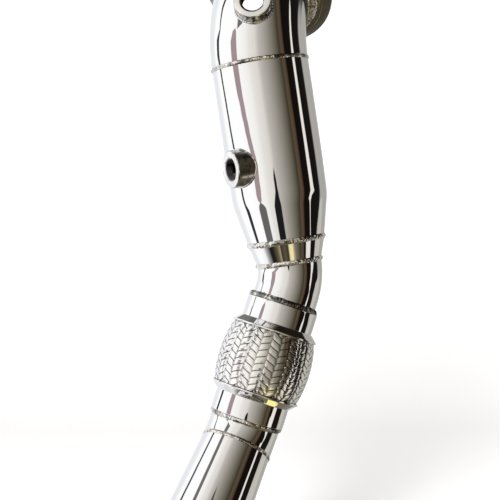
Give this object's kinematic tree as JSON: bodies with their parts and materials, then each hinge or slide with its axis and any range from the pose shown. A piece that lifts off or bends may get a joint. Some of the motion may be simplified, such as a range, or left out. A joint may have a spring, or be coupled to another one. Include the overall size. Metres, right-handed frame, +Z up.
{
  "type": "turbo downpipe",
  "caption": "Polished stainless exhaust downpipe: clamp-flanged inlet elbow, necked body with sensor bungs, braided flex coupling and flared outlet pipe.",
  "frame": {"origin": "centre of the inlet flange's sealing face, where the clamp joint holds the pipe on the turbine", "axes": "+Z up as fitted and pictured, -Y towards the viewer, +X to the viewer's right; the inlet faces up, back and slightly right, and the outlet points down, forward and left"},
  "size_m": [0.1539, 0.1523, 0.5229],
  "materials": {
    "polished_stainless": "mirror-polished stainless steel",
    "machined_stainless": "turned stainless steel, fine tool marks",
    "weld_metal": "rippled stainless weld bead, slightly straw coloured",
    "braid_wire": "bright drawn stainless wire in flat strips",
    "liner_stainless": "formed stainless strip, dull"
  },
  "bodies": {
    "root": {"inlet_elbow": "polished_stainless", "body_tube": "polished_stainless", "reducer_ring": "polished_stainless", "bend_tube": "polished_stainless", "flex_inlet_collar": "polished_stainless", "flex_outlet_collar": "polished_stainless", "flex_inlet_cap": "polished_stainless", "flex_outlet_cap": "polished_stainless", "outlet_link": "polished_stainless", "outlet_pipe": "polished_stainless", "inlet_flange": "machined_stainless", "lower_sensor_bung": "machined_stainless", "upper_sensor_bung": "machined_stainless", "inlet_flange_weld": "weld_metal", "elbow_weld": "weld_metal", "body_weld": "weld_metal", "reducer_weld": "weld_metal", "flex_inlet_weld": "weld_metal", "flex_outlet_weld": "weld_metal", "outlet_weld": "weld_metal", "lower_bung_weld": "weld_metal", "upper_bung_weld": "weld_metal", "flex_braid": "braid_wire", "flex_bellows": "liner_stainless", "flex_liner": "liner_stainless"}
  },
  "joints": []
}
